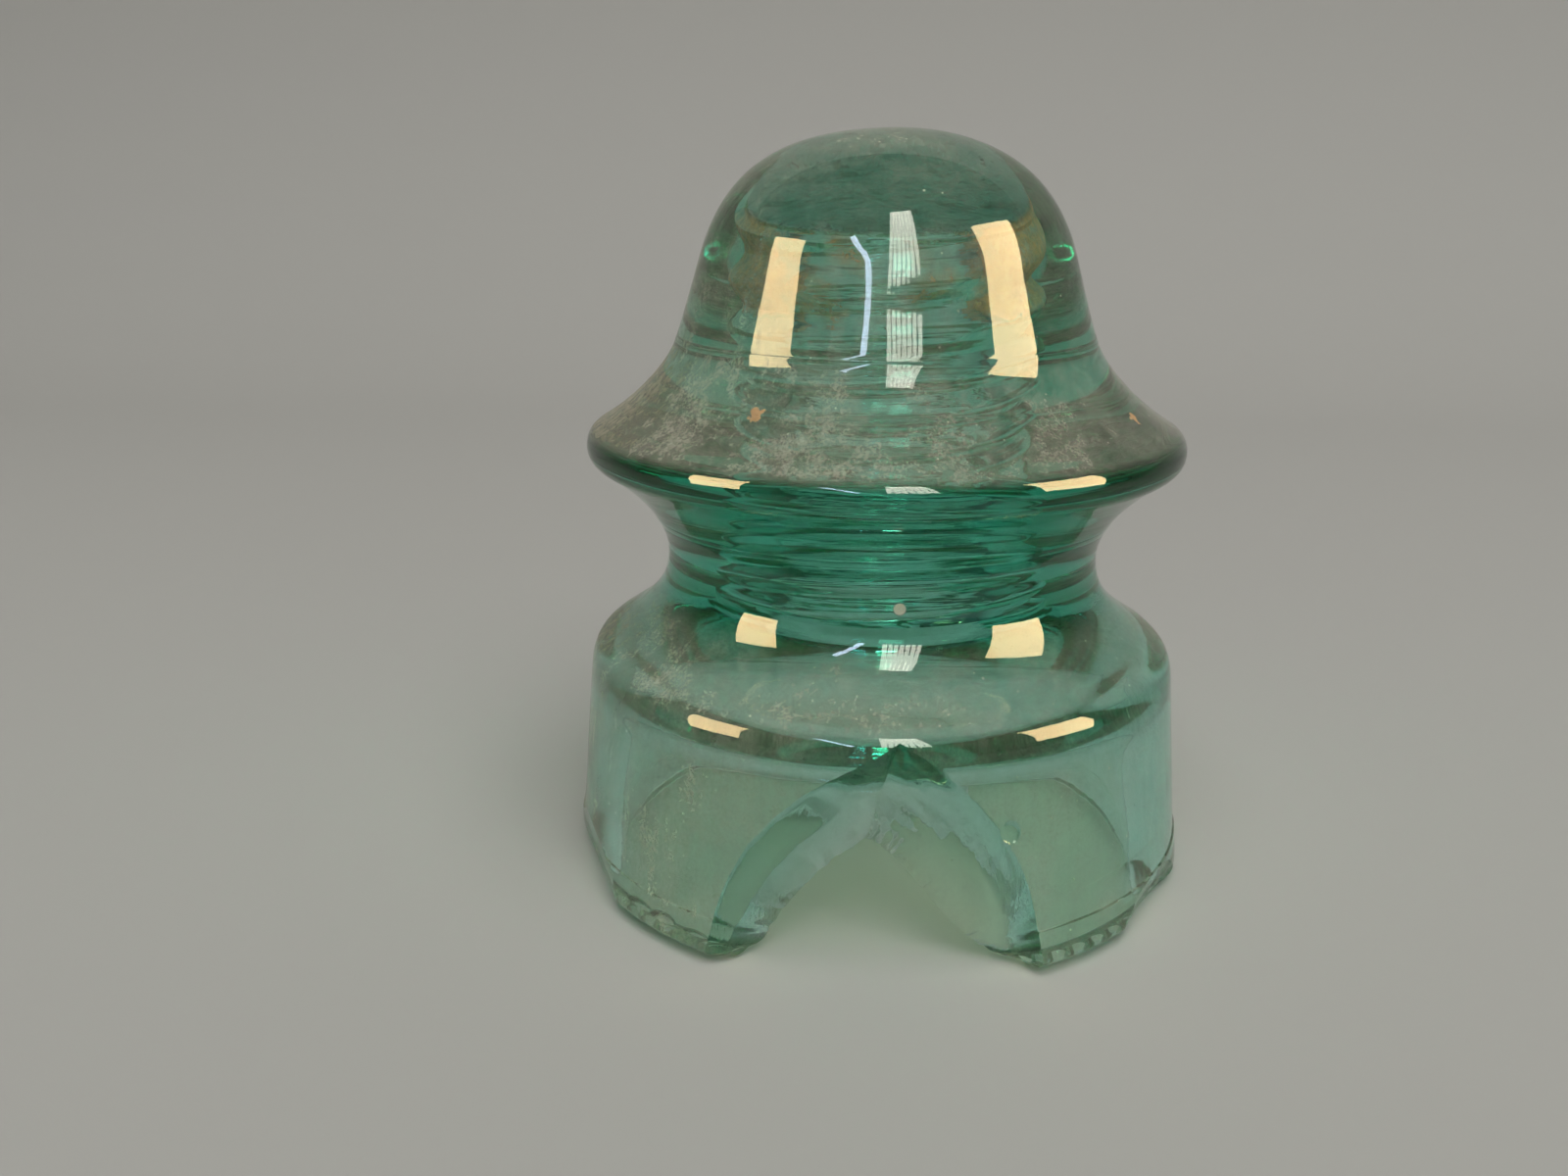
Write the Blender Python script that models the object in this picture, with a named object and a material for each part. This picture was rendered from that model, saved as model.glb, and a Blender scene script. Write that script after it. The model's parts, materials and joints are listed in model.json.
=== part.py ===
"""Glass pin-type line insulator: one pressed glass body, open side down, axis on Z, break facing -Y."""

from math import cos, pi, radians, sin

import bmesh
import bpy
from mathutils import Matrix, Vector

MM = 0.001

# Driving dimensions, in millimetres.
HEIGHT = 94.3  # drip-point tips to crown
BASE_R = 41.15  # skirt at the base rim
SEAM_Z, SEAM_STEP = 6.0, 0.2  # mould parting line round the skirt
SKIRT_TOP_R, SKIRT_TOP_Z = 38.65, 26.8
NECK_R, NECK_Z = 28.1, 42.0  # wire groove, where the line is tied
UMBRELLA_R, UMBRELLA_Z = 38.1, 56.2  # flared wire ridge above the groove
DOME_FOOT_R, DOME_FOOT_Z = 26.6, 69.0
DOME_TOP_R, DOME_TOP_Z = 23.0, 80.5  # where the side turns into the crown

RIM_Z = 1.2  # flat rim, drip points hang this far below it
RIM_IN_R, RIM_OUT_R = 36.5, 39.5  # band the drip points stand on
DRIP_COUNT = 80
DRIP_MARGIN, DRIP_TAPER = 0.4, 0.42

MOUTH_R = 35.0  # inside of the skirt at the rim
CEIL_R, CEIL_Z = 32.4, 24.3  # outer corner of the hollow's ceiling
EYE_R, EYE_Z = 15.3, 32.0  # the ceiling rises as a cone to the pin hole's mouth

PIN_TOP_Z, PIN_TOP_R = 81.5, 12.9  # top of the pin hole, at the thread roots
PIN_TAPER = 1.0 / 32.0  # radius gained per unit of depth, 1/16 on diameter
PITCH = 6.35  # four threads to the inch
THREAD_DEPTH = 1.3
THREAD_LOW_Z, THREAD_HIGH_Z = 36.0, 79.6

SIDES = 80  # facets round the body
THREAD_SIDES = 32

# The break, as angles from the front (deg) and heights (mm) of its edges.
BREAK_OUT_LEFT = ((-28.6, 0.0), (-25.0, 14.0), (-19.0, 21.0), (4.0, 29.7))
BREAK_OUT_RIGHT = ((4.0, 29.7), (16.0, 24.5), (27.5, 18.0), (28.9, 0.0))
BREAK_IN_LEFT = ((-22.6, 0.0), (-18.0, 6.0), (-10.0, 12.0), (-1.6, 15.8))
BREAK_IN_RIGHT = ((-1.6, 15.8), (7.0, 15.5), (12.5, 5.0), (26.0, 0.0))
BREAK_STEPS = 10
LEFT_RIDGE, RIGHT_HOLLOW = 0.8, 1.0

# Flakes off the rim: angle, radius, height, half sizes along, out and up.
FLAKES = ((-67.0, 43.2, -2.0, 60.0, 4.0, 14.0), (60.0, 43.2, -1.0, 15.4, 4.0, 9.0))


def bezier(p0, p1, p2, p3, steps):
    """Points along a cubic curve, without its last point."""
    pts = []
    for i in range(steps):
        t = i / steps
        u = 1.0 - t
        w = (u * u * u, 3 * u * u * t, 3 * u * t * t, t * t * t)
        pts.append(tuple(sum(k * p[a] for k, p in zip(w, (p0, p1, p2, p3))) for a in (0, 1)))
    return pts


def outer_profile():
    """The moulded outside as (r, z), rim to crown, in curves through the driving sizes."""
    seam_r = BASE_R - 0.4
    shoulder = (36.4, 30.9)
    under = (36.6, 53.8)
    over = (36.6, 58.8)
    pts = [(RIM_OUT_R, RIM_Z)]
    pts += bezier((BASE_R - 1.1, RIM_Z), (BASE_R - 0.4, RIM_Z), (BASE_R, 1.6), (BASE_R, 2.4), 3)
    pts += [(BASE_R, 2.4), (seam_r, SEAM_Z), (seam_r - SEAM_STEP, SEAM_Z + 0.1)]
    pts += [(39.6, 16.5)]
    pts += bezier((SKIRT_TOP_R, SKIRT_TOP_Z), (38.4, 29.0), (38.0, 29.9), shoulder, 4)
    pts += bezier(shoulder, (31.7, 33.8), (NECK_R, 36.5), (NECK_R, NECK_Z), 5)
    pts += bezier((NECK_R, NECK_Z), (NECK_R, 46.5), (32.3, 51.1), under, 5)
    pts += bezier(under, (37.6, 54.4), (UMBRELLA_R, 55.2), (UMBRELLA_R, UMBRELLA_Z), 2)
    pts += bezier((UMBRELLA_R, UMBRELLA_Z), (UMBRELLA_R, 57.3), (37.7, 58.1), over, 3)
    pts += bezier(over, (32.8, 60.9), (27.9, 65.6), (DOME_FOOT_R, DOME_FOOT_Z), 4)
    pts += bezier((DOME_FOOT_R, DOME_FOOT_Z), (25.3, 72.6), (24.1, 76.9), (DOME_TOP_R, DOME_TOP_Z), 2)
    pts += bezier((DOME_TOP_R, DOME_TOP_Z), (20.6, 87.2), (15.5, HEIGHT), (0.0, HEIGHT), 7)
    return pts + [(0.0, HEIGHT)]


def object_from(bm, name):
    bmesh.ops.recalc_face_normals(bm, faces=bm.faces)
    mesh = bpy.data.meshes.new(name)
    bm.to_mesh(mesh)
    bm.free()
    obj = bpy.data.objects.new(name, mesh)
    bpy.context.scene.collection.objects.link(obj)
    return obj


def revolved(pts, sides):
    """A closed solid of revolution from (r, z) points; ends off the axis are capped flat."""
    bm = bmesh.new()
    verts = [bm.verts.new((r * MM, 0.0, z * MM)) for r, z in pts]
    edges = [bm.edges.new(pair) for pair in zip(verts, verts[1:])]
    bmesh.ops.spin(bm, geom=verts + edges, cent=(0, 0, 0), axis=(0, 0, 1), angle=2 * pi, steps=sides, use_merge=True)
    bmesh.ops.remove_doubles(bm, verts=bm.verts, dist=1e-6)
    bmesh.ops.holes_fill(bm, edges=[e for e in bm.edges if e.is_boundary], sides=0)
    return bm


def threaded_core():
    """The pin hole's threads as a solid: a profile screwed round the axis, tapered, cut off flat."""
    bm = bmesh.new()
    turns = 9
    low = THREAD_LOW_Z - PITCH
    root = PIN_TOP_R
    crest = PIN_TOP_R - THREAD_DEPTH
    verts = []
    for turn in range(turns):
        z = low + turn * PITCH
        for r, part in ((crest, 0.0), (crest, 0.22), (root, 0.5), (root, 0.72)):
            verts.append(bm.verts.new((r * MM, 0.0, (z + part * PITCH) * MM)))
    edges = [bm.edges.new(pair) for pair in zip(verts, verts[1:])]
    step = (0, 0, PITCH * MM / THREAD_SIDES)
    bmesh.ops.spin(bm, geom=verts + edges, cent=(0, 0, 0), axis=(0, 0, 1), dvec=step, angle=2 * pi, steps=THREAD_SIDES)
    bmesh.ops.remove_doubles(bm, verts=bm.verts, dist=1e-6)
    for vert in bm.verts:
        grow = 1.0 + PIN_TAPER * (PIN_TOP_Z - vert.co.z / MM) / PIN_TOP_R
        vert.co.x *= grow
        vert.co.y *= grow
    for z, up in ((THREAD_LOW_Z, 0.0), (THREAD_HIGH_Z, 1.0)):
        geom = list(bm.verts) + list(bm.edges) + list(bm.faces)
        bmesh.ops.bisect_plane(
            bm, geom=geom, dist=1e-7, plane_co=(0, 0, z * MM), plane_no=(0, 0, 1 if up else -1), clear_outer=True
        )
    bmesh.ops.holes_fill(bm, edges=[e for e in bm.edges if e.is_boundary], sides=0)
    return bm


def pin_radius(z):
    return PIN_TOP_R + (PIN_TOP_Z - z) * PIN_TAPER


def polar(angle, radius, z):
    a = radians(angle)
    return Vector((radius * sin(a) * MM, -radius * cos(a) * MM, z * MM))


def surface_radius(pts, z):
    for (r0, z0), (r1, z1) in zip(pts, pts[1:]):
        if z0 <= z <= z1 and z1 > z0:
            return r0 + (r1 - r0) * (z - z0) / (z1 - z0)
    return BASE_R


def break_cutter(profile):
    """The missing bite: a steep shell-shaped face between the break's two edges, closed below."""
    out = bezier(*BREAK_OUT_LEFT, BREAK_STEPS) + bezier(*BREAK_OUT_RIGHT, BREAK_STEPS) + [BREAK_OUT_RIGHT[3]]
    inn = bezier(*BREAK_IN_LEFT, BREAK_STEPS) + bezier(*BREAK_IN_RIGHT, BREAK_STEPS) + [BREAK_IN_RIGHT[3]]
    out = [(out[0][0] - 0.6, -3.0)] + out + [(out[-1][0] + 0.4, -3.0)]
    inn = [(inn[0][0] - 1.5, -3.0)] + inn + [(inn[-1][0] + 1.5, -3.0)]
    bm = bmesh.new()
    rows = []
    for i, ((ao, zo), (ai, zi)) in enumerate(zip(out, inn)):
        ro = surface_radius(profile, zo)
        ri = MOUTH_R - (MOUTH_R - CEIL_R) * max(zi, 0.0) / CEIL_Z
        bulge = LEFT_RIDGE if i <= BREAK_STEPS else -RIGHT_HOLLOW
        row = [polar(ai, ri - 8.0, zi - 4.0)]
        for k in range(-1, 6):
            t = k / 4.0
            side = sin(pi * min(max(t, 0.0), 1.0)) * bulge * (1.0 if 0 < i < len(out) - 1 else 0.0)
            row.append(polar(ai + (ao - ai) * t, ri + (ro - ri) * t + side, zi + (zo - zi) * t))
        row.append(polar(ao, ro + 8.0, zo + 5.0))
        rows.append([bm.verts.new(co) for co in row])
    for a, b in zip(rows, rows[1:]):
        for k in range(len(a) - 1):
            bm.faces.new((a[k], a[k + 1], b[k + 1], b[k]))
    down = bmesh.ops.extrude_face_region(bm, geom=list(bm.faces))["geom"]
    for item in down:
        if isinstance(item, bmesh.types.BMVert):
            item.co.z = -12.0 * MM
    return bm


def flake_cutter(angle, radius, z, along, out, up):
    bm = bmesh.new()
    bmesh.ops.create_uvsphere(bm, u_segments=24, v_segments=12, radius=1.0)
    scale = Matrix.Diagonal((along * MM, out * MM, up * MM, 1.0))
    turn = Matrix.Rotation(radians(angle), 4, "Z")
    bmesh.ops.transform(bm, matrix=Matrix.Translation(polar(angle, radius, z)) @ turn @ scale, verts=bm.verts)
    return bm


def add_drip_points(bm):
    """A tapered nub under each facet of the rim band, with a small flat tip."""
    band = [
        f
        for f in bm.faces
        if len(f.verts) == 4
        and all(abs(v.co.z - RIM_Z * MM) < 1e-6 for v in f.verts)
        and RIM_IN_R - 0.1 < f.calc_center_median().to_2d().length / MM < RIM_OUT_R + 0.1
    ]
    bmesh.ops.inset_individual(bm, faces=band, thickness=DRIP_MARGIN * MM, depth=0.0)
    tips = bmesh.ops.extrude_discrete_faces(bm, faces=band)["faces"]
    for tip in tips:
        middle = tip.calc_center_median()
        for vert in tip.verts:
            vert.co = middle + (vert.co - middle) * DRIP_TAPER
            vert.co.z = 0.0
    print("drip points:", len(tips))


def cut(body, cutter):
    mod = body.modifiers.new("cut", "BOOLEAN")
    mod.operation, mod.solver, mod.object = "DIFFERENCE", "EXACT", cutter
    solid = body.evaluated_get(bpy.context.evaluated_depsgraph_get())
    mesh = bpy.data.meshes.new_from_object(solid)
    body.modifiers.clear()
    body.data = mesh
    bpy.data.objects.remove(cutter)


def glass_material():
    mat = bpy.data.materials.new("aqua_glass")
    mat.use_nodes = True
    shader = mat.node_tree.nodes["Principled BSDF"]
    shader.inputs["Base Color"].default_value = (0.16, 0.50, 0.40, 1.0)
    shader.inputs["Roughness"].default_value = 0.05
    shader.inputs["IOR"].default_value = 1.52
    shader.inputs["Transmission Weight"].default_value = 1.0
    mat.diffuse_color = (0.16, 0.50, 0.40, 1.0)
    return mat


def build():
    for obj in list(bpy.data.objects):
        bpy.data.objects.remove(obj)

    profile = outer_profile()
    hollow = [(EYE_R, EYE_Z), (CEIL_R - 2.2, CEIL_Z + 0.5), (CEIL_R - 0.6, CEIL_Z - 0.5), (CEIL_R, CEIL_Z - 2.2)]
    shell = bmesh.new()
    loop = [(0.0, EYE_Z)] + hollow + [(MOUTH_R, 2.0), (MOUTH_R + 0.8, RIM_Z), (RIM_IN_R, RIM_Z)] + profile
    verts = [shell.verts.new((r * MM, 0.0, z * MM)) for r, z in loop]
    edges = [shell.edges.new(pair) for pair in zip(verts, verts[1:])]
    bmesh.ops.spin(
        shell, geom=verts + edges, cent=(0, 0, 0), axis=(0, 0, 1), angle=2 * pi, steps=SIDES, use_merge=True
    )
    bmesh.ops.remove_doubles(shell, verts=shell.verts, dist=1e-6)
    add_drip_points(shell)
    body = object_from(shell, "glass_insulator")

    entry_z = THREAD_LOW_Z + 1.5
    entry = [(pin_radius(EYE_Z) + 0.9, EYE_Z - 3.0), (pin_radius(EYE_Z) + 0.6, EYE_Z), (pin_radius(entry_z), entry_z)]
    cut(body, object_from(revolved(entry, THREAD_SIDES), "entry"))
    cut(body, object_from(threaded_core(), "threads"))
    crest = PIN_TOP_R - THREAD_DEPTH
    top = [(crest + 0.5, THREAD_HIGH_Z - 1.0), (crest, PIN_TOP_Z - 0.8), (crest - 1.0, PIN_TOP_Z)]
    cut(body, object_from(revolved(top, THREAD_SIDES), "hole_top"))
    cut(body, object_from(break_cutter(profile), "bite"))
    for flake in FLAKES:
        cut(body, object_from(flake_cutter(*flake), "flake"))

    bm = bmesh.new()
    bm.from_mesh(body.data)
    bmesh.ops.remove_doubles(bm, verts=bm.verts, dist=2e-5)
    bmesh.ops.dissolve_degenerate(bm, edges=bm.edges, dist=1e-5)
    bmesh.ops.triangulate(bm, faces=bm.faces)
    bmesh.ops.recalc_face_normals(bm, faces=bm.faces)
    loose = [e for e in bm.edges if not e.is_manifold]
    print("triangles:", len(bm.faces), "open or doubled edges:", len(loose))
    print("volume, cm3:", round(bm.calc_volume() * 1e6, 2))
    bm.to_mesh(body.data)
    bm.free()
    body.data.materials.clear()
    body.data.materials.append(glass_material())


build()
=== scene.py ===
# %% [markdown]
# # A pressed-glass line insulator, standing on a pale table
# The object is one lump of aqua glass, pressed in an iron mould about a century ago. A wooden pin
# screws up into its middle, a line wire is tied into its waist, and the open skirt keeps the pin dry.
# A bite has been knocked out of the skirt. This script makes the glass, its threads, its broken faces and
# its dirt, and lights it softly.

import json
from math import atan2, cos, degrees, pi, radians, sin
from random import Random

import bmesh
import bpy
from mathutils import Matrix, Quaternion, Vector, noise

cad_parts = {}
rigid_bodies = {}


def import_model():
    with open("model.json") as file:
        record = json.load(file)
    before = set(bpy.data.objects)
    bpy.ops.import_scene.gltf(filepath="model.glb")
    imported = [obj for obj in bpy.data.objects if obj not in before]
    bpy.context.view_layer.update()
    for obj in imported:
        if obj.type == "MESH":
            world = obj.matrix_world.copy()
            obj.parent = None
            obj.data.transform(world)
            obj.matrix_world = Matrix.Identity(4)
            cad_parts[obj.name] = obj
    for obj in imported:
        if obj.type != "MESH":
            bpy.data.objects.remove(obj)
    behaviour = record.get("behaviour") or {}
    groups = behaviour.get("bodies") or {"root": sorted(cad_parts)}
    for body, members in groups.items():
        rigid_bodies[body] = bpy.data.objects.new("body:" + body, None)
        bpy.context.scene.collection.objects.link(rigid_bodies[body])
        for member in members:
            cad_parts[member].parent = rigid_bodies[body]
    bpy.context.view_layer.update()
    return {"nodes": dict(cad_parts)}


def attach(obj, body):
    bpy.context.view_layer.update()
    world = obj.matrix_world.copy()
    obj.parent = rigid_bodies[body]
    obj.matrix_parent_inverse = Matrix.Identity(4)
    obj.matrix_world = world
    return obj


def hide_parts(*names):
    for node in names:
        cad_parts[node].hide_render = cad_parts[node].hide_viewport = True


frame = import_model()
print("nodes to dress:", sorted(frame["nodes"]))

# %% [markdown]
# ## Sizes
# Every length is in millimetres here and turned to metres once, where a vertex is made. The outside is a
# turned shape, so its profile is a chain of cubic curves through the few sizes a mould maker would write
# down: rim, lower shoulder, wire groove, flared ridge, dome and crown.

# %% Sizes
MM = 0.001
HEIGHT, BASE_R = 94.3, 41.15
SEAM_Z, SEAM_STEP = 6.0, 0.2
RIM_Z, RIM_MID_R = 1.2, 37.95
PIN_TOP_Z, PIN_TOP_R, PIN_TAPER = 81.5, 12.9, 1.0 / 32.0
PITCH, THREAD_DEPTH = 6.35, 1.3
THREAD_LOW_Z, THREAD_HIGH_Z = 36.0, 79.6
EYE_R, EYE_Z = 15.3, 32.0
MOUTH_R, CEIL_R, CEIL_Z = 35.0, 32.4, 24.3
SIDES = 256
SHARP_ANGLE = 28
FROM_BREAK, FROM_THREAD, FROM_DRIP = 1, 2, 3


def bend(p0, p1, p2, p3, steps):
    """Points along a cubic curve, without its last one."""
    pts = []
    for i in range(steps):
        t = i / steps
        u = 1.0 - t
        w = (u * u * u, 3 * u * u * t, 3 * u * t * t, t * t * t)
        pts.append(tuple(sum(k * p[a] for k, p in zip(w, (p0, p1, p2, p3))) for a in (0, 1)))
    return pts


def line(p0, p1, steps):
    """Even points along a straight line, without its last one."""
    third = [(p1[a] - p0[a]) / 3 for a in (0, 1)]
    return bend(p0, [p0[a] + third[a] for a in (0, 1)], [p1[a] - third[a] for a in (0, 1)], p1, steps)


def outside_curve():
    seam_r = BASE_R - 0.4
    above = (seam_r - SEAM_STEP, SEAM_Z + 0.15)
    shoulder, under, over = (36.4, 30.9), (36.6, 53.8), (36.6, 58.8)
    pts = bend((BASE_R - 1.1, RIM_Z), (BASE_R - 0.4, RIM_Z), (BASE_R, 1.6), (BASE_R, 2.4), 6)
    pts += line((BASE_R, 2.4), (seam_r, SEAM_Z), 5)
    pts += line((seam_r, SEAM_Z), above, 2)
    pts += line(above, (39.6, 16.5), 10) + line((39.6, 16.5), (38.65, 26.8), 10)
    pts += bend((38.65, 26.8), (38.4, 29.0), (38.0, 29.9), shoulder, 10)
    pts += bend(shoulder, (31.7, 33.8), (28.1, 36.5), (28.1, 42.0), 16)
    pts += bend((28.1, 42.0), (28.1, 46.5), (32.3, 51.1), under, 18)
    pts += bend(under, (37.6, 54.4), (38.1, 55.2), (38.1, 56.2), 6)
    pts += bend((38.1, 56.2), (38.1, 57.3), (37.7, 58.1), over, 7)
    pts += bend(over, (32.8, 60.9), (27.9, 65.6), (26.6, 69.0), 18)
    pts += bend((26.6, 69.0), (25.3, 72.6), (24.1, 76.9), (23.0, 80.5), 12)
    pts += bend((23.0, 80.5), (20.6, 87.2), (15.5, HEIGHT), (0.0, HEIGHT), 34)
    return pts + [(0.0, HEIGHT)]


MOULD_RINGS = (47.3, 63.7, 69.3)
RING_HALF, RING_OUT = 0.25, 0.045


def with_rings(points):
    """The outline with a fine raised line wherever the mould's rings met."""
    out = []
    for (r0, z0), (r1, z1) in zip(points, points[1:]):
        if all(abs(z0 - ring) > RING_HALF * 1.3 for ring in MOULD_RINGS):
            out.append((r0, z0))
        for ring in MOULD_RINGS:
            if min(z0, z1) < ring <= max(z0, z1):
                k = (ring - z0) / (z1 - z0)
                r, slope = r0 + (r1 - r0) * k, (r1 - r0) / (z1 - z0)
                for up, out_by in ((-1, 0.0), (-0.4, 0.7), (0, 1.0), (0.4, 0.7), (1, 0.0)):
                    out.append((r + slope * up * RING_HALF + out_by * RING_OUT, ring + up * RING_HALF))
    return out + [points[-1]]


OUTSIDE = with_rings(outside_curve())


def outside_radius(z):
    """The outline's radius at a height."""
    for (r0, z0), (r1, z1) in zip(OUTSIDE, OUTSIDE[1:]):
        if z0 <= z <= z1 and z1 > z0:
            return r0 + (r1 - r0) * (z - z0) / (z1 - z0)
    return BASE_R


def polar(angle, radius, z):
    """A place in metres from an angle off the front, a radius and a height."""
    a = radians(angle)
    return Vector((radius * sin(a), -radius * cos(a), z)) * MM


print("outside curve:", len(OUTSIDE), "points")

# %% [markdown]
# ## The turned body
# The mould makes two turned surfaces, the outside and the hollow of the skirt. Both could be screw
# modifiers, but one spin of a single line, from the hollow's ceiling round the rim and up to the crown,
# gives one closed body with even faces. Even faces matter, because clear glass shows every
# uneven normal as a wobble in what is seen through it.

# %% The turned body
def inside_curve():
    lip = (MOUTH_R + 0.9, RIM_Z)
    before, after = (CEIL_R - 2.4, CEIL_Z + 0.5), (CEIL_R + 0.15, CEIL_Z - 2.6)
    pts = line((0.0, EYE_Z), (EYE_R, EYE_Z), 6) + line((EYE_R, EYE_Z), before, 12)
    pts += bend(before, (CEIL_R - 1.0, CEIL_Z + 0.3), (CEIL_R, CEIL_Z - 0.8), after, 7)
    pts += line(after, (MOUTH_R - 0.1, 2.6), 18)
    pts += bend((MOUTH_R - 0.1, 2.6), (MOUTH_R, 1.8), (MOUTH_R + 0.3, RIM_Z), lip, 5)
    return pts + line(lip, (BASE_R - 1.1, RIM_Z), 4)


AXIS = {"cent": (0, 0, 0), "axis": (0, 0, 1)}


def chain(bm, points):
    """A line of edges through points of radius and height."""
    verts = [bm.verts.new((r * MM, 0.0, z * MM)) for r, z in points]
    return verts + [bm.edges.new(pair) for pair in zip(verts, verts[1:])]


def turned(points, sides):
    bm = bmesh.new()
    bmesh.ops.spin(bm, geom=chain(bm, points), **AXIS, angle=2 * pi, steps=sides, use_merge=True)
    bmesh.ops.remove_doubles(bm, verts=bm.verts, dist=1e-6)
    return bm


def as_object(bm, name, tag=0):
    """The bmesh as an object, with a number on its faces that says what made them."""
    bmesh.ops.recalc_face_normals(bm, faces=bm.faces)
    for face in bm.faces:
        face.material_index = tag
    mesh = bpy.data.meshes.new(name)
    bm.to_mesh(mesh)
    bm.free()
    obj = bpy.data.objects.new(name, mesh)
    bpy.context.scene.collection.objects.link(obj)
    return obj


def in_the_hollow(vert):
    """True on the skirt's inner wall and on the hollow's ceiling."""
    r, z = vert.co.xy.length, vert.co.z
    wall = z < CEIL_Z * MM and r < (MOUTH_R + 0.5) * MM
    ceiling = z > 20 * MM and r < CEIL_R * MM and vert.normal.z < -0.2
    return wall or ceiling


def fire_polish(bm, inside_wave, outside_wave):
    """Gives the skin the slow, shallow waves of glass that cooled after the mould opened."""
    bm.normal_update()
    moves = []
    for vert in bm.verts:
        size = inside_wave if in_the_hollow(vert) else outside_wave
        fade = min(max((vert.co.z / MM - 1.5) / 4.0, 0.0), 1.0)
        moves.append(vert.normal * noise.noise(vert.co * 95.0) * size * fade * MM)
    for vert, move in zip(bm.verts, moves):
        vert.co += move


skin = turned(inside_curve() + OUTSIDE, SIDES)
fire_polish(skin, 0.09, 0.045)
body = as_object(skin, "insulator_glass")
print("turned body:", len(body.data.polygons), "faces")

# %% [markdown]
# ## Drip points
# A row of small nubs hangs from the rim, so that rain gathers and drops off instead of creeping inside.
# They could be pulled out of the rim's own faces, but the rim's faces are longer than a nub is round.
# One nub is turned, copied round in a ring with a spin of duplicates, and joined by a union.

# %% Drip points
DRIPS, DRIP_R = 80, 1.42
DRIP_STEP = 2 * pi / DRIPS


def drip_ring():
    bm = bmesh.new()
    curve = bend((DRIP_R + 0.25, RIM_Z + 0.8), (DRIP_R, RIM_Z - 0.1), (0.8, 0.0), (0.0, 0.0), 6)
    bmesh.ops.spin(bm, geom=chain(bm, curve + [(0.0, 0.0)]), **AXIS, angle=2 * pi, steps=14, use_merge=True)
    bmesh.ops.remove_doubles(bm, verts=bm.verts, dist=1e-6)
    bmesh.ops.holes_fill(bm, edges=[e for e in bm.edges if e.is_boundary], sides=0)
    bmesh.ops.translate(bm, verts=bm.verts, vec=(RIM_MID_R * MM, 0, 0))
    bmesh.ops.rotate(bm, verts=bm.verts, cent=(0, 0, 0), matrix=Matrix.Rotation(DRIP_STEP / 2, 3, "Z"))
    one = list(bm.verts) + list(bm.edges) + list(bm.faces)
    rest = 2 * pi * (DRIPS - 1) / DRIPS
    bmesh.ops.spin(bm, geom=one, **AXIS, angle=rest, steps=DRIPS - 1, use_duplicate=True)
    for vert in bm.verts:
        if vert.co.z < RIM_Z * MM:
            wear = 0.5 + 1.2 * noise.noise(vert.co * 120.0)
            vert.co.z = (RIM_Z - (RIM_Z - vert.co.z / MM) * min(max(wear, 0.05), 1.0)) * MM
            shift = 1.0 + 0.012 * noise.noise(vert.co * 90.0 + Vector((3.0, 1.0, 8.0)))
            vert.co.x *= shift
            vert.co.y *= shift
    return bm


drips = as_object(drip_ring(), "drips", FROM_DRIP)
print("drip points:", DRIPS, "faces each:", len(drips.data.polygons) // DRIPS)

# %% [markdown]
# ## The threaded hole
# The pin's thread is pressed into the hot glass by a screw plunger, so it is a true helix with soft,
# rounded turns. A spin that climbs by one pitch in one turn makes it: the start of the line meets its own
# end a pitch higher, and merging closes the seam. Two planes trim it, its open ends are drawn on to a
# plain entry below and a rough, slightly domed end above, and the whole is cut out of the body.

# %% The threaded hole
END = (
    (12.2, 80.1, 0), (11.9, 80.7, 0), (11.3, 81.1, 0.1), (10.2, 81.25, 0.3), (8.6, 81.3, 0.5),
    (6.6, 81.4, 0.5), (4.4, PIN_TOP_Z, 0.4), (2.2, PIN_TOP_Z, 0.3), (0.4, PIN_TOP_Z, 0),
)
ENTRY_Z = 35.3
ENTRY = ((-0.1, 1.6), (0.0, 1.2), (0.35, 0.5), (0.9, -0.1), (1.0, -2.8))


def hole_radius(z):
    """The radius at the thread's roots: the hole widens downwards."""
    return PIN_TOP_R + (PIN_TOP_Z - z) * PIN_TAPER


def draw_on(bm, edges, rings):
    """Extend an open end through rings of (radius, height, roughness)."""
    for radius, z, rough in rings:
        new = bmesh.ops.extrude_edge_only(bm, edges=edges)["geom"]
        edges = [g for g in new if isinstance(g, bmesh.types.BMEdge)]
        for vert in {v for e in edges for v in e.verts}:
            flat = Vector((vert.co.x, vert.co.y, 0.0)).normalized()
            lump = noise.noise(Vector((flat.x * radius, flat.y * radius, z)) * 0.45) * rough
            vert.co = flat * radius * MM + Vector((0, 0, (z + lump) * MM))
    return edges


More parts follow.
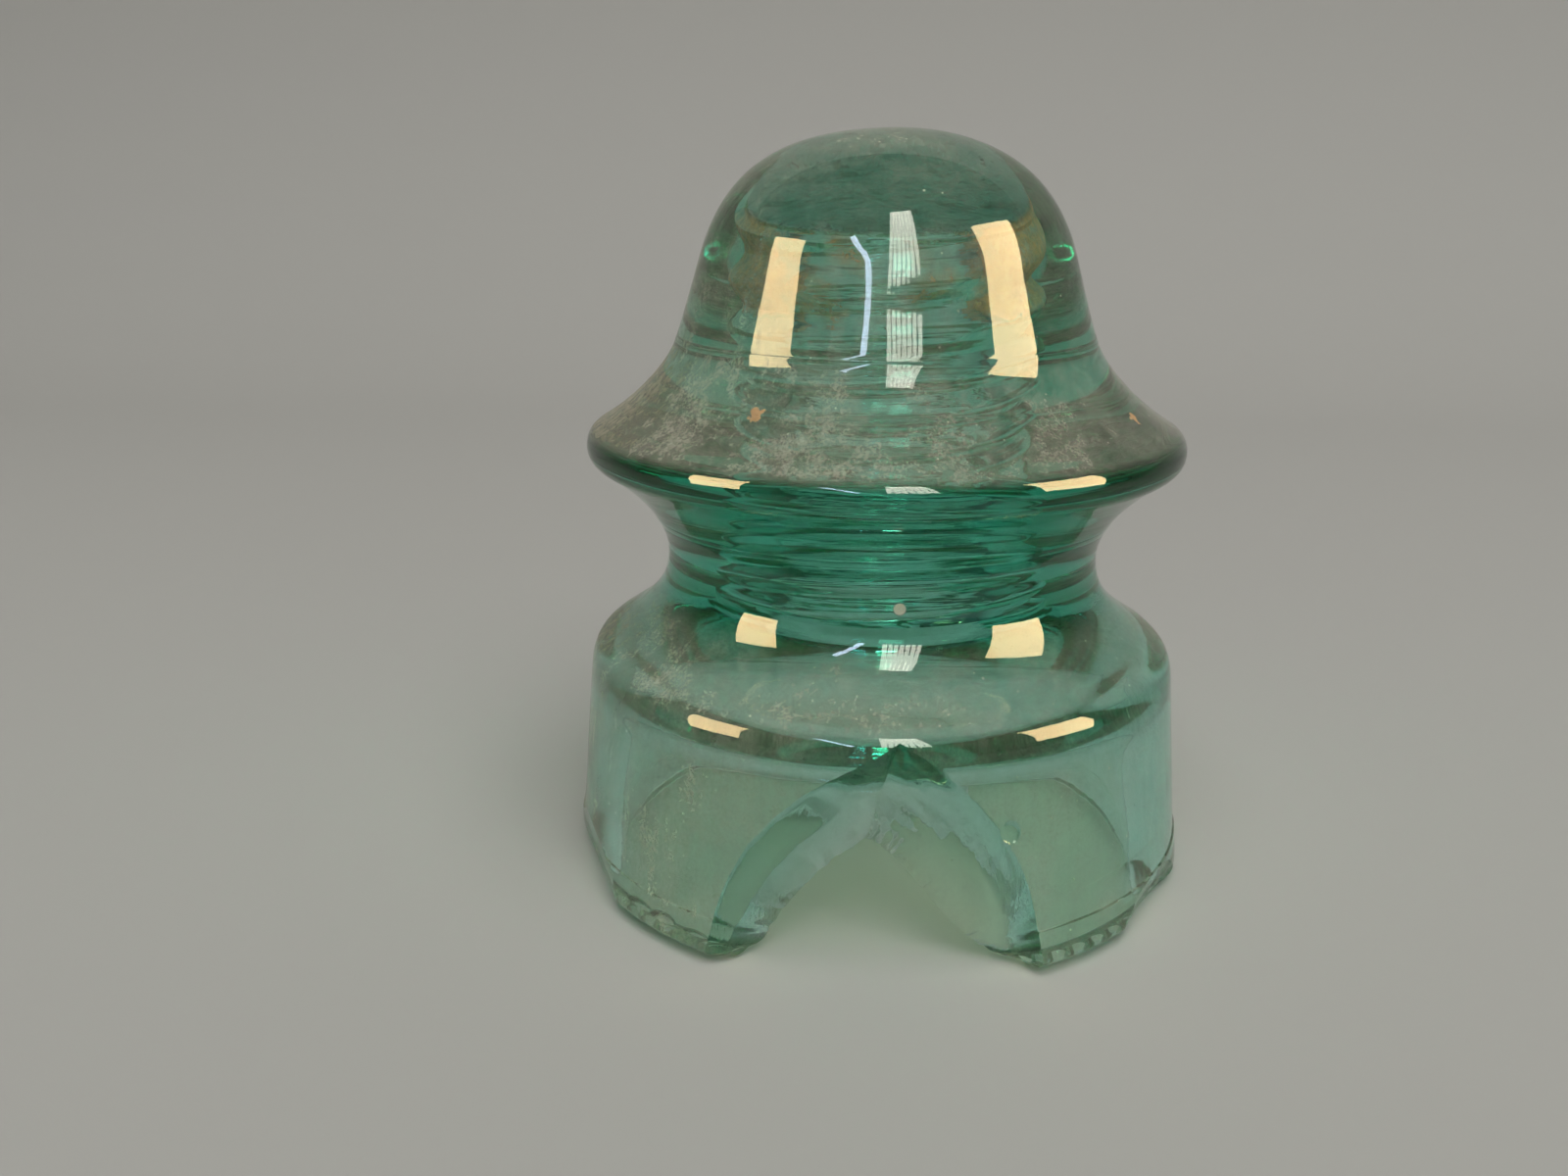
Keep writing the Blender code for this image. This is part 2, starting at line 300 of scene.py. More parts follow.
def threaded_core():
    bm = bmesh.new()
    rows, turns, sides = 14, 9, 128
    low = THREAD_LOW_Z - PITCH
    outline = []
    for k in range(rows * turns + 1):
        u = (k % rows) / rows
        wave = (0.5 - 0.5 * cos(2 * pi * u)) ** 0.8
        outline.append((PIN_TOP_R - THREAD_DEPTH * (1 - wave), low + k * PITCH / rows))
    climb = (0, 0, PITCH * MM / sides)
    bmesh.ops.spin(bm, geom=chain(bm, outline), **AXIS, dvec=climb, angle=2 * pi, steps=sides)
    bmesh.ops.remove_doubles(bm, verts=bm.verts, dist=1e-6)
    for vert in bm.verts:
        z = vert.co.z / MM
        grow = hole_radius(z) / PIN_TOP_R + 0.002 * noise.noise(vert.co * 120.0)
        vert.co.x *= grow
        vert.co.y *= grow
    for z, way in ((THREAD_LOW_Z, -1), (THREAD_HIGH_Z, 1)):
        geom = list(bm.verts) + list(bm.edges) + list(bm.faces)
        plane = {"plane_co": (0, 0, z * MM), "plane_no": (0, 0, way)}
        bmesh.ops.bisect_plane(bm, geom=geom, dist=1e-7, **plane, clear_outer=True)
    middle = (THREAD_LOW_Z + THREAD_HIGH_Z) / 2 * MM
    ends = [e for e in bm.edges if e.is_boundary]
    upper = [e for e in ends if e.verts[0].co.z > middle]
    lower = [e for e in ends if e.verts[0].co.z < middle]
    foot = hole_radius(EYE_Z)
    entry = [(hole_radius(ENTRY_Z), ENTRY_Z, 0)] + [(foot + out, EYE_Z + up, 0) for out, up in ENTRY]
    upper = draw_on(bm, upper, END)
    lower = draw_on(bm, lower, entry)
    for ring in (upper, lower):
        bmesh.ops.holes_fill(bm, edges=ring, sides=0)
    return bm


core = as_object(threaded_core(), "core", FROM_THREAD)
turns = (THREAD_HIGH_Z - THREAD_LOW_Z) / PITCH
print("threaded core:", len(core.data.polygons), "faces, turns:", round(turns, 1))

# %% [markdown]
# ## The bite and the flakes
# Glass breaks in smooth shells with fine ridges that run away from the blow. The bite's face leans
# steeply between a wide outer edge and a narrow inner one. A flat grid is bent into that face, ridges and
# ripples are pressed into it as small moves along the radius, and it is extruded down into a solid to cut
# with. The two flakes off the rim, the little notch by the bite's top and the chips along the rim are
# cut by flattened balls with the same ripples.

# %% The bite
OUT_LEFT = ((-28.6, 0.0), (-25.0, 14.0), (-19.0, 21.0), (4.0, 29.7))
OUT_RIGHT = ((4.0, 29.7), (16.0, 24.5), (27.5, 18.0), (28.9, 0.0))
IN_LEFT = ((-22.6, 0.0), (-18.0, 6.0), (-10.0, 12.0), (-1.6, 15.8))
IN_RIGHT = ((-1.6, 15.8), (7.0, 15.5), (12.5, 5.0), (26.0, 0.0))
BITE_FLOOR_Z = -25.0


def on_curve(curve, t):
    """The point at t, from 0 to 1, along a cubic curve."""
    u = 1.0 - t
    w = (u * u * u, 3 * u * u * t, 3 * u * t * t, t * t * t)
    return [sum(k * p[a] for k, p in zip(w, curve)) for a in (0, 1)]


def edge_at(left, right, s):
    """Angle and height along a broken edge, for s from 0 (left foot) to 1 (right foot), and on below it."""
    if s < 0:
        return [left[0][0] + 15 * s, left[0][1] + 90 * s]
    if s > 1:
        return [right[3][0] + 12 * (s - 1), right[3][1] - 90 * (s - 1)]
    return on_curve(left, s * 2) if s < 0.5 else on_curve(right, s * 2 - 1)


def smooth(a, b, x):
    """0 at a, 1 at b, with a soft slope between; a may be the larger."""
    t = min(max((x - a) / (b - a), 0.0), 1.0)
    return t * t * (3 - 2 * t)


def relief(s, t):
    """How far the broken face stands out of its ruled shape, in millimetres."""
    t = min(max(t, 0.0), 1.0)
    left, right = smooth(0.46, 0.36, s), smooth(0.5, 0.62, s)
    hold = smooth(-0.02, 0.25, t)
    facets = 1.35 * left * min(t / 0.56, (1 - t) / 0.44)
    shell = 0.45 * right * sin(2 * pi * t + 0.6) * (1 - t)
    arcs = 0.05 * sin(34 * t + 11 * s) * right * smooth(0.95, 0.55, s)
    hackles = noise.noise(Vector((s * 60 + t * 9, t * 4.0, 7.7))) * 0.13 * (1 - left) * (1 - right)
    striae = noise.noise(Vector((s * 110, t * 2.2, 2.7))) * 0.07 * right
    swell = noise.noise(Vector((s * 8, t * 2.5, 3.1))) * 0.14 * (1 - 0.6 * left)
    parting = 0.3 * left * smooth(0.075, 0.082, s)
    return facets + shell + hold * (arcs + hackles + striae + swell) - parting


def bite():
    """The solid that cuts the bite: its upper face is the broken one."""
    bm = bmesh.new()
    bmesh.ops.create_grid(bm, x_segments=200, y_segments=64, size=1.0)
    for vert in bm.verts:
        s, t = (vert.co.x + 1) * 0.54 - 0.04, (vert.co.y + 1) * 0.9 - 0.4
        (ao, zo), (ai, zi) = edge_at(OUT_LEFT, OUT_RIGHT, s), edge_at(IN_LEFT, IN_RIGHT, s)
        zi += 0.35 * noise.noise(Vector((s * 30, 2.0, 5.0)))
        zi += 0.25 * smooth(0.45, 0.6, s) * noise.noise(Vector((s * 90, 6.0, 5.0)))
        zo += 0.2 * noise.noise(Vector((s * 24, 8.0, 1.0)))
        ro = outside_radius(max(zo, 1.0))
        ri = MOUTH_R - (MOUTH_R - CEIL_R) * max(zi, 0.0) / CEIL_Z
        k = min(max(t, -0.25), 1.25)
        far = t - k
        radius = ri + (ro - ri) * k + relief(s, t) + far * 40.0
        vert.co = polar(ai + (ao - ai) * k, radius, zi + (zo - zi) * k + far * 24.0)
    lid = bmesh.ops.extrude_face_region(bm, geom=list(bm.faces))["geom"]
    for item in lid:
        if isinstance(item, bmesh.types.BMVert):
            item.co.z = BITE_FLOOR_Z * MM
    return bm


def flake(angle, radius, z, along, out, up, seed):
    """A rippled ball, flattened to half sizes along the rim, outwards and upwards."""
    bm = bmesh.new()
    fineness = 60 if up > 5 else 12
    bmesh.ops.create_uvsphere(bm, u_segments=2 * fineness, v_segments=fineness, radius=1.0)
    for vert in bm.verts:
        n = vert.co.copy()
        lump = noise.noise(Vector((n.x * 14, n.z * 5, seed)))
        vert.co *= 1.0 + 0.02 * lump + 0.004 * sin(26 * n.length * abs(n.z + 1.1))
    size = Matrix.Diagonal((along * MM, out * MM, up * MM, 1.0))
    turn = Matrix.Rotation(radians(angle), 4, "Z")
    bmesh.ops.transform(bm, matrix=Matrix.Translation(polar(angle, radius, z)) @ turn @ size, verts=bm.verts)
    return bm


def join(*objs):
    """Several separate cutters as one object."""
    bm = bmesh.new()
    for obj in objs:
        bm.from_mesh(obj.data)
        bpy.data.objects.remove(obj)
    mesh = bpy.data.meshes.new("cutters")
    bm.to_mesh(mesh)
    bm.free()
    out = bpy.data.objects.new("cutters", mesh)
    bpy.context.scene.collection.objects.link(out)
    return out


cutters = join(
    core,
    as_object(bite(), "bite", FROM_BREAK),
    as_object(flake(-67.0, 43.2, -2.0, 60.0, 4.0, 14.0, 2.0), "flake_left", FROM_BREAK),
    as_object(flake(60.0, 43.2, -1.0, 15.4, 4.0, 9.0, 5.0), "flake_right", FROM_BREAK),
)
notch = as_object(flake(22.6, 40.1, 18.9, 1.8, 1.1, 2.0, 9.0), "notch", FROM_BREAK)
print("cutters:", len(cutters.data.polygons), "faces, and a notch of", len(notch.data.polygons))

# %% Chips along the rim
CHIP_SPREADS = ((-47, 17, 7), (45, 14, 5), (150, 60, 4), (-150, 50, 4))
pick = Random(11)
chips = []
for middle, spread, count in CHIP_SPREADS:
    for _ in range(count):
        angle = middle + spread * pick.uniform(-1, 1)
        radius, z = pick.choice((41.2, 41.0, 35.6)), pick.uniform(-0.4, 0.6)
        along, up = pick.uniform(1.4, 3.2), pick.uniform(1.0, 2.0)
        chips.append(as_object(flake(angle, radius, z, along, 1.3, up, angle), "chip", FROM_BREAK))
print("chips:", len(chips))

# %% [markdown]
# ## Join and cut
# The plunger that pressed the hollow, the ring that pressed the drip points and the blow that broke the
# skirt all worked on one lump of glass, so everything has to end up as one closed body. Exact Booleans do
# that: a union for the drip points, then a difference for the threads and the bite. Each cutter's faces
# carry a material number through the cut, which tells afterwards where a face came from.

# %% Join and cut
def combine(target, other, how):
    """Runs one Boolean for good, and drops the other object."""
    mod = target.modifiers.new("combine", "BOOLEAN")
    mod.operation, mod.solver, mod.object = how, "EXACT", other
    mesh = bpy.data.meshes.new_from_object(target.evaluated_get(bpy.context.evaluated_depsgraph_get()))
    target.modifiers.clear()
    target.data = mesh
    bpy.data.objects.remove(other)


for obj in (body, drips, cutters, notch, *chips):
    for _ in range(4):
        obj.data.materials.append(None)
combine(body, drips, "UNION")
for cutter in (cutters, notch, *chips):
    combine(body, cutter, "DIFFERENCE")
print("after the cuts:", len(body.data.polygons), "faces")

# %% [markdown]
# ## Where the surface is clean, and where it is dirty
# Dust settles on what faces up, soil stays where nobody wiped it, rust from the pin stains the upper
# threads, and a broken face is bare. These amounts could be painted by hand. Here they are worked out for
# each vertex from its place and the way it faces, and kept as attributes that the material reads.

# %% Where the dirt lies
def near(angle, middle, width):
    """1 at an angle round the axis, falling softly to 0 at a distance of width degrees."""
    off = abs((angle - middle + 180.0) % 360.0 - 180.0)
    return smooth(width, 0.0, off)


def most(angle, spots):
    """The strongest of several spots of (strength, middle, width), in degrees round the axis."""
    return max(strength * near(angle, middle, width) for strength, middle, width in spots)


FLARE_SOIL = ((1.0, -80.0, 58.0), (0.3, 160.0, 70.0), (0.4, 74.0, 44.0))
SHOULDER_SOIL = ((0.8, -82.0, 48.0), (0.6, 88.0, 30.0), (0.5, 170.0, 60.0))
RUST = ((1.0, 82.0, 80.0), (0.9, -80.0, 62.0))


def dirt_at(place, normal):
    """(film, soil, rust) for a place in millimetres and the way the glass faces there."""
    r, angle = place.xy.length, degrees(atan2(place.x, -place.y))
    if r < 15.5 and place.z < 83.0:
        stained = max(most(angle, RUST), 0.42)
        return 0.02, 0.0, stained * smooth(67.0, 73.0, place.z) * smooth(82.0, 80.6, place.z)
    if (place.z < 26.0 and r < 35.8) or (place.z < 33.5 and r < 28.0):
        return 0.10, 0.0, 0.0
    up, left = max(normal.z, 0.0), near(angle, -75.0, 95.0)
    washed = smooth(35.0, 38.5, place.z) * smooth(58.8, 57.2, place.z)
    edge = smooth(23.5, 26.5, place.z) * smooth(31.0, 29.5, place.z)
    flare_top = smooth(57.0, 58.8, place.z) * smooth(72.0 + 7.0 * left, 60.0 + 4.0 * left, place.z)
    brow = smooth(78.0, 84.0, place.z) * smooth(93.0, 90.0, place.z) * near(angle, 10.0, 120.0)
    film = 0.20 + 0.12 * up + 0.16 * left * smooth(90.0, 60.0, place.z)
    film += 0.10 * flare_top - 0.13 * near(angle, 80.0, 70.0)
    film *= 1.0 - 0.45 * brow
    film *= (1.0 - 0.95 * washed) * (1.0 - 0.6 * edge * (1 - left))
    on_flare = most(angle, FLARE_SOIL)
    on_shoulder = most(angle, SHOULDER_SOIL)
    shoulder = smooth(27.5, 30.0, place.z) * smooth(38.0, 31.5, place.z)
    return film, max(flare_top * on_flare, shoulder * on_shoulder), 0.0


print("front of the dome:", [round(a, 3) for a in dirt_at(Vector((0.0, -24.0, 77.0)), Vector((0, -1, 0)))])

# %% Give the body its amounts
bm = bmesh.new()
bm.from_mesh(body.data)
bmesh.ops.remove_doubles(bm, verts=bm.verts, dist=2e-6)
bmesh.ops.dissolve_degenerate(bm, edges=bm.edges, dist=1e-6)
bm.normal_update()
broken = bm.faces.layers.float.new("broken")
thread = bm.faces.layers.float.new("thread")
amounts = [bm.verts.layers.float.new(name) for name in ("film", "soil", "rust")]
for face in bm.faces:
    face[broken] = float(face.material_index == FROM_BREAK)
    face[thread] = float(face.material_index == FROM_THREAD)
    face.material_index = 0
for vert in bm.verts:
    for layer, amount in zip(amounts, dirt_at(vert.co / MM, vert.normal)):
        vert[layer] = amount
print("open edges:", sum(not e.is_manifold for e in bm.edges))
print("volume cm3:", round(bm.calc_volume() * 1e6, 1))
bm.to_mesh(body.data)
bm.free()
body.data.materials.clear()
body.data.shade_smooth()
body.data.set_sharp_from_angle(angle=radians(SHARP_ANGLE))
print("glass faces:", len(body.data.polygons))
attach(body, "root")
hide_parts("glass_insulator")

# %% [markdown]
# ## A few words for node trees
# A material is a chain of small nodes. A few helpers keep the chains readable: node makes one and feeds its
# sockets with numbers or links, calc does a sum, step turns a value into a soft step from 0 to 1, blend
# runs between two values, and grain is a noise. All patterns are fixed to the piece by its own coordinates.

# %% Node helpers
def node(tree, kind, sockets=None, **settings):
    """A node of a kind, with links or numbers in its sockets."""
    item = tree.nodes.new("ShaderNode" + kind)
    for name, value in settings.items():
        setattr(item, name, value)
    for socket, value in (sockets or {}).items():
        if isinstance(value, bpy.types.NodeSocket):
            tree.links.new(value, item.inputs[socket])
        else:
            item.inputs[socket].default_value = value
    return item


def calc(tree, how, a, b=0.0):
    return node(tree, "Math", {0: a, 1: b}, operation=how).outputs[0]


def step(tree, value, low, high):
    sockets = {"Value": value, "From Min": low, "From Max": high}
    return node(tree, "MapRange", sockets, interpolation_type="SMOOTHSTEP").outputs["Result"]


def grain(tree, place, scale, detail=2.0, rough=0.5):
    sockets = {"Vector": place, "Scale": scale, "Detail": detail, "Roughness": rough}
    return node(tree, "TexNoise", sockets).outputs["Fac"]


def blend(tree, amount, low, high):
    """low where amount is 0, high where it is 1."""
    return node(tree, "Mix", {0: amount, 2: low, 3: high}).outputs[0]


def attribute(tree, name):
    return node(tree, "Attribute", attribute_name=name).outputs["Fac"]


def in_millimetres(tree, stretch=(1.0, 1.0, 1.0)):
    """The piece's own coordinates in millimetres, squeezed or stretched along its axes."""
    place = node(tree, "TexCoord").outputs["Object"]
    sizes = tuple(k / MM for k in stretch)
    return node(tree, "Mapping", {"Vector": place, "Scale": sizes}).outputs["Vector"]


def new_material(name):
    mat = bpy.data.materials.new(name)
    mat.use_nodes = True
    tree = mat.node_tree
    return mat, tree, tree.nodes["Principled BSDF"], tree.nodes["Material Output"]


print("node helpers ready")

# %% [markdown]
# ## Glass with dust on it
# The aqua comes from iron in the sand, and it deepens with thickness, so the colour belongs inside the
# body, as absorption, and not on its skin. The skin is clear. Dust could be mixed into the glass's own
# colour, but then the light that passes between the specks would be tinted too, so the dirt is a shader
# of its own, and a mask mixes it in: a thin film, specks, crusted soil and rust. The same shader also
# carries a near-black painted shade at the closed end of the pin hole.

# %% Glass
glass, tree, shader, out = new_material("aqua_glass")
shader.inputs["Base Color"].default_value = (1, 1, 1, 1)
shader.inputs["IOR"].default_value = 1.52
shader.inputs["Transmission Weight"].default_value = 1.0
depth = node(tree, "VolumeAbsorption", {"Color": (0.137, 0.812, 0.70, 1), "Density": 72.0})
tree.links.new(depth.outputs[0], out.inputs["Volume"])
mm = in_millimetres(tree)
film, soil, rust = (attribute(tree, name) for name in ("film", "soil", "rust"))
bare, threaded = attribute(tree, "broken"), attribute(tree, "thread")
cloud = step(tree, grain(tree, mm, 0.11, 4.0, 0.6), 0.30, 0.72)
powder = step(tree, grain(tree, mm, 0.9, 5.0, 0.72), 0.35, 0.65)
fine = step(tree, grain(tree, mm, 2.4, 3.0, 0.7), 0.38, 0.64)

# %% [markdown]
# ## What lies on the glass
# The dirt is four different things: a grey film that the rain has wiped in streaks, crusted soil with a
# powdery grain, a rust stain from the pin, and loose specks. One noise over everything would look
# like fog. Each gets a pattern of its own, held to its own amount from the vertices. The pale dot and the
# two flecks of clay are single spots, so each is a distance from its own place.

# %% Specks and spots
def specks(tree, place, density, size):
    """Round grains: a cell keeps its grain only if its own random number is high enough."""
    cells = node(tree, "TexVoronoi", {"Vector": place, "Scale": density})
    luck = node(tree, "SeparateColor", {0: cells.outputs["Color"]}).outputs[0]
    kept = step(tree, calc(tree, "ADD", luck, calc(tree, "MULTIPLY", film, 0.4)), 1.0, 1.03)
    return calc(tree, "MULTIPLY", kept, step(tree, cells.outputs["Distance"], size * 1.5, size * 0.8))


def patch(tree, place, middle, radius, ragged):
    """A spot round a point in millimetres, with a ragged edge."""
    off = node(tree, "VectorMath", {0: place, 1: middle}, operation="DISTANCE").outputs["Value"]
    edge = calc(tree, "MULTIPLY", calc(tree, "SUBTRACT", grain(tree, place, 1.1, 3.0), 0.5), ragged)
    return step(tree, calc(tree, "ADD", off, edge), radius * 1.15, radius * 0.85)


speck = calc(tree, "MAXIMUM", specks(tree, mm, 0.5, 0.07), specks(tree, mm, 1.0, 0.11))
speck = calc(tree, "MULTIPLY", speck, blend(tree, cloud, 0.35, 0.85))
dot = patch(tree, mm, (2.39, -28.05, 41.77), 0.72, 0.1)
left_clay = patch(tree, mm, (-13.7, -27.1, 63.3), 0.9, 2.2)
right_clay = patch(tree, mm, (29.0, -14.6, 61.4), 0.8, 2.4)
clay = calc(tree, "MAXIMUM", left_clay, right_clay)
print("spots placed, glass nodes:", len(tree.nodes))

# %% Film, soil and rust
haze = calc(tree, "MULTIPLY", film, blend(tree, cloud, 0.45, 1.1))
haze = calc(tree, "MULTIPLY", haze, blend(tree, fine, 0.7, 1.25))
wiped = step(tree, grain(tree, in_millimetres(tree, (1.0, 1.0, 0.06)), 0.55, 3.0, 0.6), 0.35, 0.65)
haze = calc(tree, "MULTIPLY", haze, blend(tree, wiped, 0.75, 1.2))
clods = calc(tree, "SUBTRACT", grain(tree, mm, 0.35, 6.0, 0.72), 0.5)
crust = step(tree, calc(tree, "ADD", soil, calc(tree, "MULTIPLY", clods, 1.6)), 0.25, 1.0)
crust = calc(tree, "MULTIPLY", crust, step(tree, soil, 0.03, 0.3))
crust = calc(tree, "MULTIPLY", crust, blend(tree, powder, 0.35, 0.85))
blotch = calc(tree, "SUBTRACT", grain(tree, mm, 0.13, 4.0, 0.6), 0.5)
stain = step(tree, calc(tree, "ADD", rust, calc(tree, "MULTIPLY", blotch, 1.2)), 0.35, 0.8)
stain = calc(tree, "MULTIPLY", stain, blend(tree, powder, 0.5, 0.9))
above = node(tree, "SeparateXYZ", {0: mm}).outputs["Z"]
# The pin hole's closed end: rough relief, and a near-black painted shade laid over it.
rough_end_and_painted_shade = calc(tree, "MULTIPLY", threaded, step(tree, above, 80.2, 80.9))
print("film, soil and rust made, glass nodes:", len(tree.nodes))

# %% [markdown]
# ## Dirt and painted shade over glass
# Where several kinds of dirt overlap, the thickest hides the rest, so their amounts are taken by maximum
# and not added. Their colours are laid one over another in the order in which they came to lie, and the
# closed end of the pin hole gets a near-black painted shade among them. The result is one dull shader,
# mixed over the clear one by how much of the glass is covered.

# %% Dirt and painted shade over glass
cover = calc(tree, "MAXIMUM", haze, crust)
for amount in (stain, speck, calc(tree, "MULTIPLY", rough_end_and_painted_shade, 0.45)):
    cover = calc(tree, "MAXIMUM", cover, amount)
cover = calc(tree, "MULTIPLY", cover, blend(tree, bare, 1.0, 0.05))
for amount in (dot, clay):
    cover = calc(tree, "MAXIMUM", cover, calc(tree, "MULTIPLY", amount, 0.9))
tint = (0.60, 0.57, 0.455, 1)
layers = (
    (step(tree, crust, 0.05, 0.45), (0.36, 0.335, 0.24, 1)),
    (step(tree, stain, 0.02, 0.3), (0.95, 0.22, 0.06, 1)),
    (speck, (0.80, 0.75, 0.60, 1)),
    # near-black painted shade at the pin hole's closed end
    (rough_end_and_painted_shade, (0.035, 0.05, 0.035, 1)),
    (dot, (0.85, 0.83, 0.66, 1)),
    (clay, (0.60, 0.36, 0.17, 1)),
)
for amount, colour in layers:
    tint = node(tree, "Mix", {0: amount, 6: tint, 7: colour}, data_type="RGBA").outputs[2]
dirt_and_shade = node(tree, "BsdfPrincipled", {"Base Color": tint, "Roughness": 0.95})
both = node(tree, "MixShader", {0: cover, 1: shader.outputs[0], 2: dirt_and_shade.outputs[0]})
tree.links.new(both.outputs[0], out.inputs["Surface"])
print("kinds of dirt:", len(layers))

# %% [markdown]
# ## Fine relief
# What is left is too fine for the mesh: hair ridges on the broken faces, lathe marks that the plunger
# left on the threads, its rough end, and a slow ripple over all of it. They go in as bump, in millimetres,
# and each is held to its own faces. The soil has a grit of its own, because it lies on top.

# %% Fine relief
tree.links.new(blend(tree, haze, 0.012, 0.07), shader.inputs["Roughness"])
upright = in_millimetres(tree, (1.0, 1.0, 0.16))
level = in_millimetres(tree, (0.1, 0.1, 1.0))
hackle = calc(tree, "MULTIPLY", grain(tree, upright, 1.7, 3.0, 0.6), 0.05)
lumps = calc(tree, "MULTIPLY", grain(tree, mm, 0.6, 3.0, 0.55), blend(tree, rough_end_and_painted_shade, 0.004, 0.8))
ripple = calc(tree, "MULTIPLY", grain(tree, mm, 0.4, 2.0, 0.5), 0.007)
turning = calc(tree, "MULTIPLY", grain(tree, level, 0.9, 2.0, 0.5), 0.16)
lumps = calc(tree, "MULTIPLY", calc(tree, "ADD", lumps, turning), threaded)
height = calc(tree, "MAXIMUM", calc(tree, "MULTIPLY", hackle, bare), lumps)
height = calc(tree, "MULTIPLY", calc(tree, "ADD", height, ripple), MM)
bump = node(tree, "Bump", {"Height": height, "Strength": 1.0, "Distance": 1.0})
tree.links.new(bump.outputs[0], shader.inputs["Normal"])
grit_height = calc(tree, "MULTIPLY", powder, 0.15 * MM)
grit = node(tree, "Bump", {"Height": grit_height, "Strength": 1.0, "Distance": 1.0})
tree.links.new(grit.outputs[0], dirt_and_shade.inputs["Normal"])
body.data.materials.append(glass)
print("glass nodes:", len(tree.nodes))

# %% [markdown]
# ## Floor
# A plain pale table runs back and curves up into a wall, so that there is no line behind the glass. A
# chain of points extruded sideways once is all it needs.

# %% Floor
def flat_material(name, colour, rough):
    """One even, dull colour with no shine."""
    mat, _, shade, _ = new_material(name)
    shade.inputs["Base Color"].default_value = (*colour, 1)
    shade.inputs["Roughness"].default_value = rough
    shade.inputs["Specular IOR Level"].default_value = 0.0
    return mat


CARD = (0.43, 0.425, 0.405)
FRONT, BACK, WALL_TOP, HALF_WIDTH, COVE = -3.0, 0.6, 1.2, 3.0, 0.25
COVE_STEPS = 12
bm = bmesh.new()
cove = [i * pi / (2 * COVE_STEPS) for i in range(COVE_STEPS + 1)]
sweep = [(FRONT, 0.0), (0.0, 0.0)]
sweep += [(BACK - COVE + COVE * sin(a), COVE - COVE * cos(a)) for a in cove]
sweep.append((BACK, WALL_TOP))
verts = [bm.verts.new((-HALF_WIDTH, y, z)) for y, z in sweep]
edges = [bm.edges.new(pair) for pair in zip(verts, verts[1:])]
new = bmesh.ops.extrude_edge_only(bm, edges=edges)["geom"]
moved = [g for g in new if isinstance(g, bmesh.types.BMVert)]
bmesh.ops.translate(bm, verts=moved, vec=(2 * HALF_WIDTH, 0, 0))
bmesh.ops.reverse_faces(bm, faces=bm.faces)
mesh = bpy.data.meshes.new("table")
bm.to_mesh(mesh)
bm.free()
table = bpy.data.objects.new("table", mesh)
bpy.context.scene.collection.objects.link(table)
mesh.shade_smooth()
mesh.materials.append(flat_material("pale_card", CARD, 0.9))
print("table swept:", len(sweep), "points")

# %% [markdown]
# ## Lights
# Glass is lit by what it mirrors and by what shines through it. Two warm windows, a louvred ceiling light
# and one thin tube stand far off, to be mirrored. If they also lit the table, it would turn yellow, so a wide
# neutral softbox does that. The windows and the softbox each have a paler twin that only shines through
# the glass. The room is dim to the glass and brighter where the camera sees past the table.

# %% Lights
FAR = 2.4
LOOK_AT = Vector((0, 0, 0.06))


def panel(name, azimuth, elevation, distance, width, height, radiance, colour, roll=0.0):
    """A lit rectangle that faces the glass. Angles are off the front and above the table."""
    light = bpy.data.lights.new(name, "AREA")
    light.shape, light.size, light.size_y = "RECTANGLE", width, height
    light.energy, light.color = radiance * pi * width * height, colour
    obj = bpy.data.objects.new(name, light)
    a, e = radians(azimuth), radians(elevation)
    way = Vector((sin(a) * cos(e), -cos(a) * cos(e), sin(e)))
    obj.location = LOOK_AT + way * distance
    obj.rotation_euler = (way.to_track_quat("Z", "Y") @ Quaternion((0, 0, 1), radians(roll))).to_euler()
    obj.visible_camera = False
    bpy.context.scene.collection.objects.link(obj)
    return obj


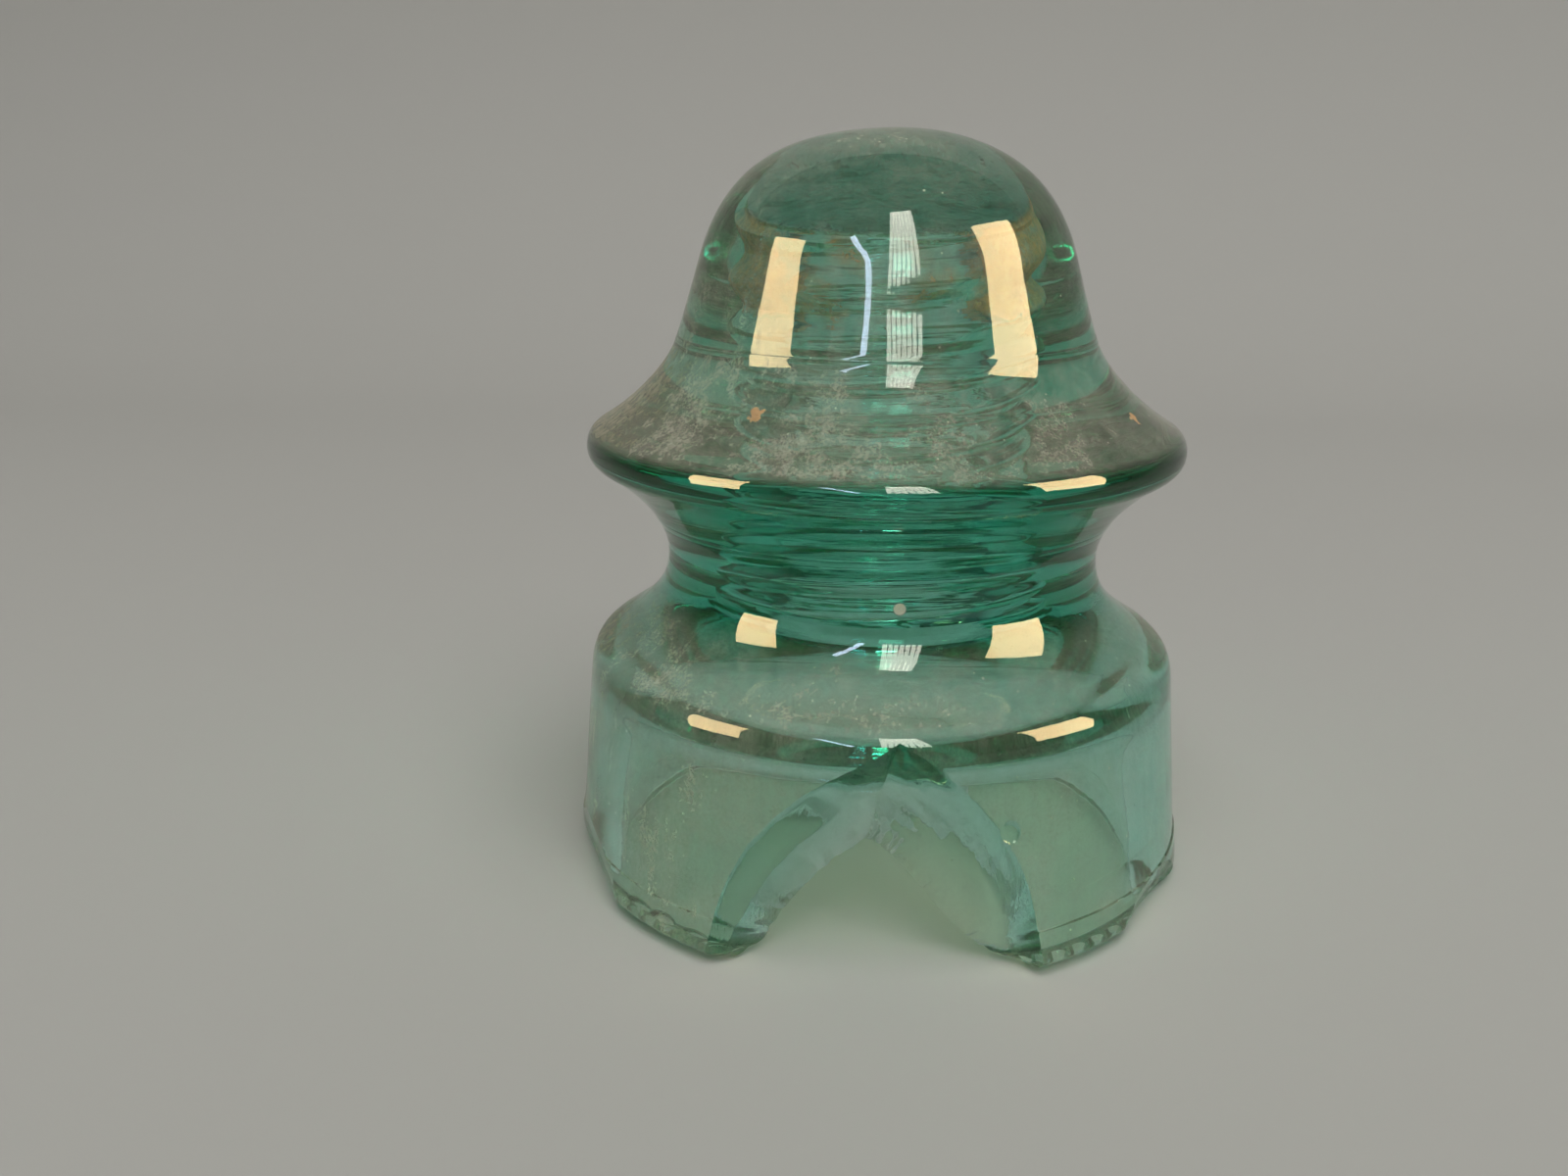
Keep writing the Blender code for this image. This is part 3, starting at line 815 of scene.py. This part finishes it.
WINDOWS = (
    ("left_window", -64.5, 20.5, FAR, 0.93, 1.45, 12),
    ("right_window", 76, 23.5, FAR, 1.14, 1.55, -12),
)
SOFTBOX = (15, 62, 1.9, 1.7, 1.7)
mirrored = [panel(*place[:6], 18, (1.0, 0.70, 0.36), place[6]) for place in WINDOWS]
for obj in mirrored:
    obj.visible_transmission = False
for place in WINDOWS:
    behind = panel(place[0] + "_through", *place[1:6], 22, (1.0, 0.93, 0.74), place[6])
    behind.visible_diffuse = behind.visible_glossy = False
mirrored.append(panel("tube", -16.5, 36.7, FAR, 0.11, 0.95, 18, (0.66, 0.74, 1.0), 36))
for k in range(7):
    across = 12 + (k - 3) * 3.0
    mirrored.append(panel(f"louvre_{k}", across, 44.8, FAR, 0.085, 1.42, 11, (1.0, 0.97, 0.84)))
for obj in mirrored:
    obj.visible_diffuse = False
softbox = panel("softbox", *SOFTBOX, 4.0, (1.0, 0.99, 0.96))
softbox.visible_glossy = softbox.visible_transmission = False
inside = panel("softbox_through", *SOFTBOX, 1.0, (1.0, 0.99, 0.96))
inside.visible_glossy = inside.visible_diffuse = False

# %% The room
world = bpy.data.worlds.new("room")
bpy.context.scene.world = world
world.use_nodes = True
tree = world.node_tree
height = node(tree, "SeparateXYZ", {0: node(tree, "TexCoord").outputs["Generated"]}).outputs["Z"]
seen = node(tree, "LightPath").outputs["Is Camera Ray"]
shade = blend(tree, seen, blend(tree, step(tree, height, 0.05, 0.55), 0.10, 0.07), 0.30)
tree.nodes["Background"].inputs["Color"].default_value = (0.985, 0.99, 0.97, 1)
tree.links.new(shade, tree.nodes["Background"].inputs["Strength"])
print("room nodes:", len(tree.nodes))

# %% [markdown]
# ## Camera
# The camera looks down on the insulator a little from close by, a touch to the right of its axis. The
# glass needs many bounces, because a ray may cross a dozen surfaces before it leaves.

# %% Camera
LOOK_DOWN, TURN_LEFT = 16.954, 4.384
camera = bpy.data.objects.new("camera", bpy.data.cameras.new("camera"))
bpy.context.scene.collection.objects.link(camera)
camera.location = (0.0, -0.16748, 0.08662)
camera.rotation_euler = (radians(90 - LOOK_DOWN), 0.0, radians(TURN_LEFT))
camera.data.lens, camera.data.sensor_width = 29.71, 36.0
camera.data.clip_start = 0.005
bpy.context.scene.camera = camera
scene = bpy.context.scene
scene.view_settings.view_transform = "Standard"
scene.cycles.max_bounces = 24
scene.cycles.transmission_bounces = 24
scene.cycles.glossy_bounces = 12
scene.cycles.sample_clamp_indirect = 6.0
print("camera at", [round(x, 3) for x in camera.location], "lens", camera.data.lens)
